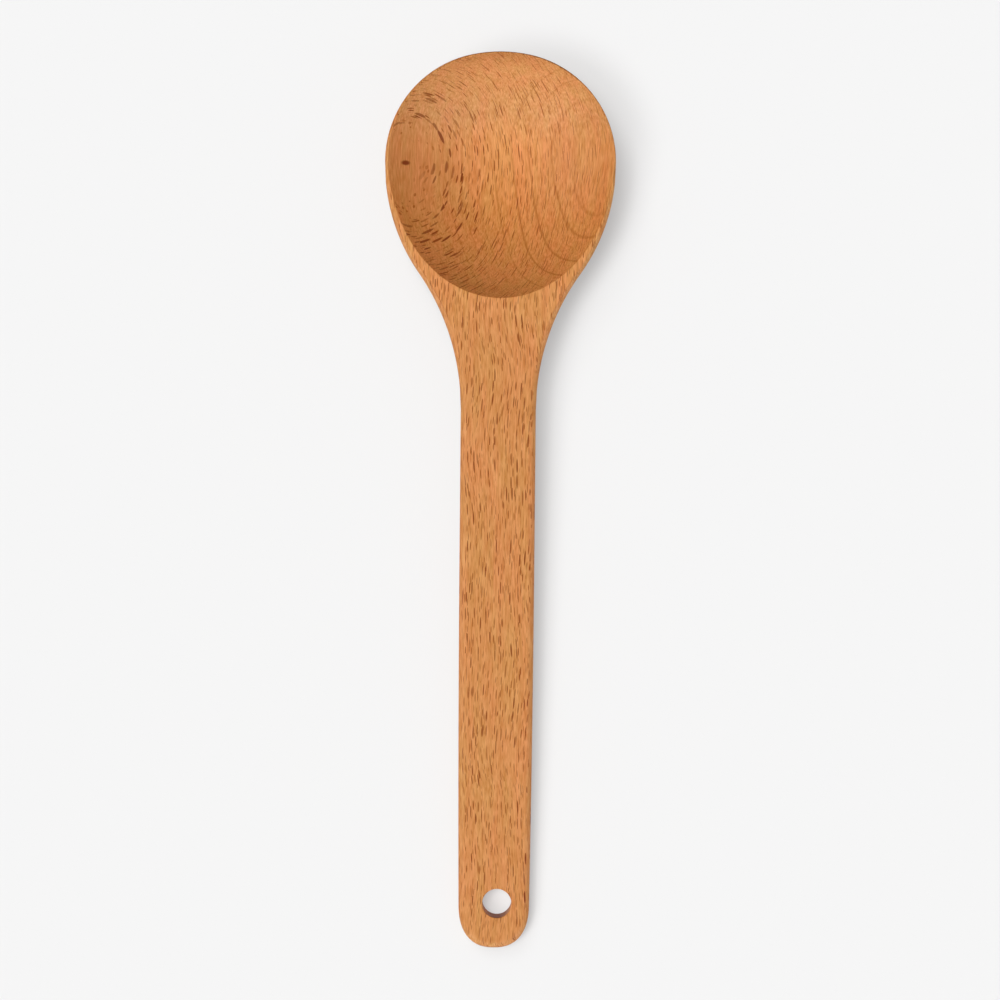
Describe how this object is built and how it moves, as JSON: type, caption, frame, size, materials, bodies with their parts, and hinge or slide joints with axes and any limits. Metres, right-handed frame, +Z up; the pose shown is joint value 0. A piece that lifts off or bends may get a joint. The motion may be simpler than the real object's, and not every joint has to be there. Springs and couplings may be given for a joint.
{
  "type": "wooden ladle",
  "caption": "One-piece beech ladle with a deep round bowl, a straight flat-topped handle and a hanging hole in its rounded tip.",
  "frame": {"origin": "middle of the bounding box, on the surface that the ladle lies on", "axes": "+Y from the handle's tip towards the bowl, +Z up with the bowl open upwards, +X to the right when the bowl points away"},
  "size_m": [0.0768, 0.2994, 0.025],
  "materials": {
    "beech": "sanded and lightly oiled, satin"
  },
  "bodies": {
    "root": {"ladle_body": "beech"}
  },
  "joints": []
}
